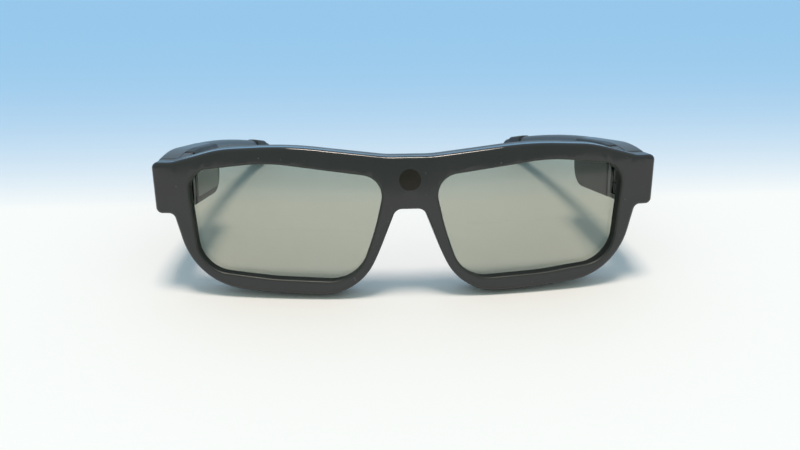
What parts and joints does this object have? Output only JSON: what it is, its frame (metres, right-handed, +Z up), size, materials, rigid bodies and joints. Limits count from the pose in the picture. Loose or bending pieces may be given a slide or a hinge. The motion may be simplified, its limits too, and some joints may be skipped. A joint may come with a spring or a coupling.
{
  "type": "active shutter 3d glasses",
  "caption": "Active-shutter 3D glasses with grey-green shutter lenses in a glossy dark front, a sync window in the bridge and folding temples with electronics housings.",
  "frame": {"origin": "middle of the glasses' box at the table they stand on", "axes": "+X to the wearer's left, +Y back along the temples, +Z up; the glasses stand on the foot of the rims and on the ear tips, so the worn glasses' upright leans back by 12.2 degrees"},
  "size_m": [0.1678, 0.1465, 0.0492],
  "materials": {
    "front_gloss": "gloss",
    "frame_plastic": "satin",
    "window_tint": "gloss",
    "chip_black": "matte",
    "board_green": "satin",
    "steel": "satin",
    "battery_foil": "satin",
    "foam": "matte",
    "label_grey": "matte",
    "led_clear": "gloss",
    "button_plastic": "gloss",
    "plunger_red": "matte",
    "lens_glass": "gloss",
    "film": "gloss",
    "gasket_rubber": "matte",
    "flex_amber": "satin",
    "temple_plastic": "satin",
    "tip_rubber": "matte"
  },
  "bodies": {
    "front": {"front_bezel": "front_gloss", "rear_frame": "frame_plastic", "sensor_window": "window_tint", "photodiode": "chip_black", "sensor_board": "board_green", "frame_screws": "steel", "right_lc_cell": "lens_glass", "left_lc_cell": "lens_glass", "right_front_polariser": "film", "left_front_polariser": "film", "right_rear_polariser": "film", "left_rear_polariser": "film", "right_lens_gasket": "gasket_rubber", "left_lens_gasket": "gasket_rubber", "right_flex": "flex_amber", "left_flex": "flex_amber", "right_hinge_pin": "steel", "left_hinge_pin": "steel"},
    "left_temple": {"left_temple_shell": "temple_plastic", "left_temple_cover": "temple_plastic", "left_ear_tip": "tip_rubber", "left_temple_flex": "flex_amber", "main_board": "board_green", "board_chips": "chip_black", "charge_socket": "steel", "tact_switch": "chip_black", "status_led": "led_clear"},
    "right_temple": {"right_temple_shell": "temple_plastic", "right_temple_cover": "temple_plastic", "right_ear_tip": "tip_rubber", "right_temple_flex": "flex_amber", "battery_cell": "battery_foil", "battery_pad": "foam", "blank_label": "label_grey"},
    "power_button": {"power_button": "button_plastic", "switch_plunger": "plunger_red"}
  },
  "joints": [
    {"name": "left_temple_fold", "type": "hinge", "parent": "front", "child": "left_temple", "pos_m": [0.0754, -0.047, 0.03204], "axis": [0, 0.212, 0.9773], "range_deg": [0, 83]},
    {"name": "right_temple_fold", "type": "hinge", "parent": "front", "child": "right_temple", "pos_m": [-0.0754, -0.047, 0.03204], "axis": [0, -0.212, -0.9773], "range_deg": [0, 72]},
    {"name": "power_button_press", "type": "slide", "parent": "left_temple", "child": "power_button", "axis": [0, 0.212, 0.9773], "range_m": [0, 0.0004], "stiffness_N_per_m": 4000}
  ]
}
